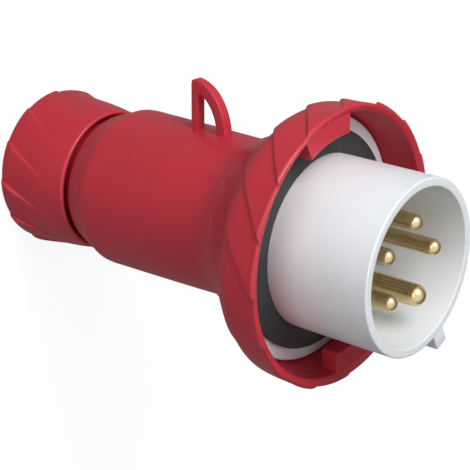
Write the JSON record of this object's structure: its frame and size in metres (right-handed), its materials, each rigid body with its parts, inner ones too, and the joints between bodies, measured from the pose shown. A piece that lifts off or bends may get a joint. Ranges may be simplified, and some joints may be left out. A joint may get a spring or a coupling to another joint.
{
  "type": "industrial pin and sleeve plug",
  "caption": "Watertight industrial pin and sleeve plug with a shrouded collar round its contacts, a bayonet coupling ring, a handle with a hanging loop and a cable gland.",
  "frame": {"origin": "centre of the gland nut's flat rear face, on the plug's axis, which is the bottom centre of the box", "axes": "+Z along the plug's axis from the cable end to the contacts; the hanging loop is on the -X side; the key and the earth contact are 26.8 degrees from +X"},
  "size_m": [0.1034, 0.1034, 0.176],
  "materials": {
    "red_plastic": "fine moulded texture, satin",
    "white_plastic": "smooth moulding, satin",
    "white_nylon": "smooth",
    "grey_nylon": "smooth",
    "black_rubber": "moulded, dull",
    "contact_brass": "turned, polished",
    "zinc_steel": "zinc plated"
  },
  "bodies": {
    "gland": {"gland_nut": "red_plastic"},
    "washer": {"slip_washer": "white_nylon"},
    "plug": {"clamp_cage": "grey_nylon", "cable_seal": "black_rubber", "housing": "red_plastic", "housing_seal": "black_rubber", "plug_insert": "white_plastic", "face_gasket": "black_rubber", "contact_carrier": "grey_nylon", "carrier_screw": "zinc_steel", "pin_l1": "contact_brass", "pin_l2": "contact_brass", "pin_l3": "contact_brass", "pin_neutral": "contact_brass", "pin_earth": "contact_brass", "screw_l1": "zinc_steel", "screw_l2": "zinc_steel", "screw_l3": "zinc_steel", "screw_neutral": "zinc_steel", "screw_earth": "zinc_steel"},
    "ring": {"coupling_ring": "red_plastic"}
  },
  "joints": [
    {"name": "gland_nut_turn", "type": "hinge", "parent": "gland", "child": "washer", "pos_m": [0, 0, 0.005], "axis": [0, 0, 1], "range_deg": [0, 1080]},
    {"name": "gland_nut_travel", "type": "slide", "parent": "washer", "child": "plug", "axis": [0, 0, 1], "range_m": [0, 0.0091]},
    {"name": "coupling_ring_turn", "type": "hinge", "parent": "plug", "child": "ring", "pos_m": [0, 0, 0.11], "axis": [0, 0, 1], "range_deg": [0, 60]}
  ],
  "couplings": [
    {"joint": "gland_nut_travel", "follows": "gland_nut_turn", "m_per_rad": 0.00047746}
  ]
}
